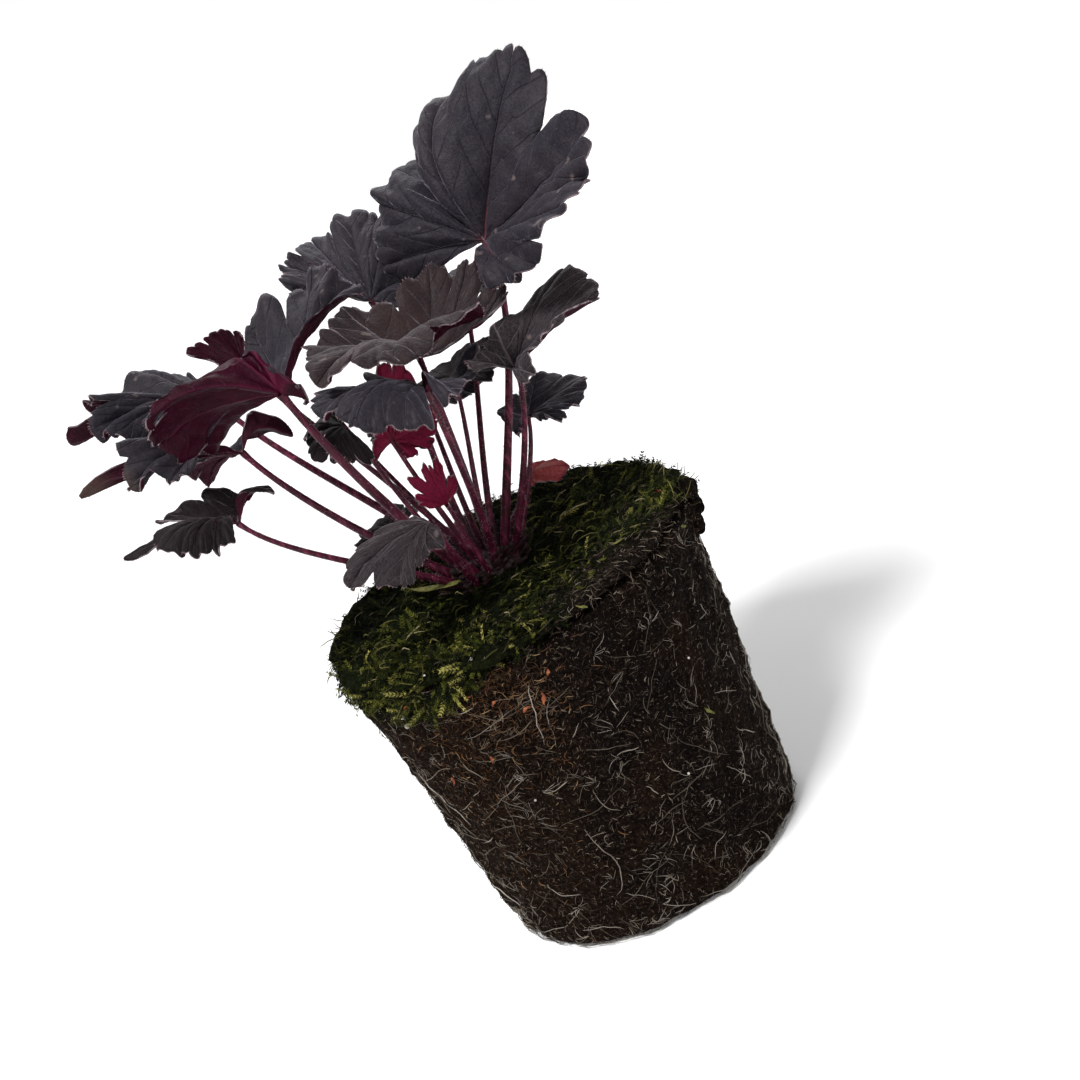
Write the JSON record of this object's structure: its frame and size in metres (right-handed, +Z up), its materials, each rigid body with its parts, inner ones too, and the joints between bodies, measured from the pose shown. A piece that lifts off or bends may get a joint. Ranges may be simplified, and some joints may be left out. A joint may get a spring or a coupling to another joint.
{
  "type": "coral bells plant with bare root ball",
  "caption": "Dark-leaved coral bells plant with lobed, ruffled leaves on slender stalks, rooted in a moss-topped tapered ball of peat that stands on its flat base.",
  "frame": {"origin": "middle of the flat underside of the root ball", "axes": "+Z up along the root ball's axis, the pictured side towards -Y, the largest leaf towards +X"},
  "size_m": [0.1809, 0.1366, 0.242],
  "materials": {
    "peat": "matt, damp and crumbly",
    "moss": "soft green moss",
    "crown": "rough reddish old stalk bases",
    "stalk": "satin maroon with fine pale hairs",
    "blade": "satin near-black leaf, wine red underneath",
    "young": "satin crimson young leaf",
    "faded": "dry faded orange-red leaf"
  },
  "bodies": {
    "root": {"root_ball": "peat", "moss_mat": "moss", "crown": "crown", "leaf_01_blade": "blade", "leaf_01_stalk": "stalk", "leaf_02_blade": "blade", "leaf_02_stalk": "stalk", "leaf_03_blade": "blade", "leaf_03_stalk": "stalk", "leaf_04_blade": "blade", "leaf_04_stalk": "stalk", "leaf_05_blade": "blade", "leaf_05_stalk": "stalk", "leaf_06_blade": "blade", "leaf_06_stalk": "stalk", "leaf_07_blade": "blade", "leaf_07_stalk": "stalk", "leaf_08_blade": "blade", "leaf_08_stalk": "stalk", "leaf_09_blade": "blade", "leaf_09_stalk": "stalk", "leaf_10_blade": "blade", "leaf_10_stalk": "stalk", "leaf_11_blade": "blade", "leaf_11_stalk": "stalk", "leaf_12_blade": "blade", "leaf_12_stalk": "stalk", "leaf_13_blade": "blade", "leaf_13_stalk": "stalk", "leaf_14_blade": "blade", "leaf_14_stalk": "stalk", "leaf_15_blade": "blade", "leaf_15_stalk": "stalk", "leaf_16_blade": "blade", "leaf_16_stalk": "stalk", "leaf_17_blade": "young", "leaf_17_stalk": "stalk", "leaf_18_blade": "faded", "leaf_18_stalk": "stalk", "leaf_19_blade": "blade", "leaf_19_stalk": "stalk", "leaf_20_blade": "blade", "leaf_20_stalk": "stalk", "leaf_21_blade": "blade", "leaf_21_stalk": "stalk"}
  },
  "joints": []
}
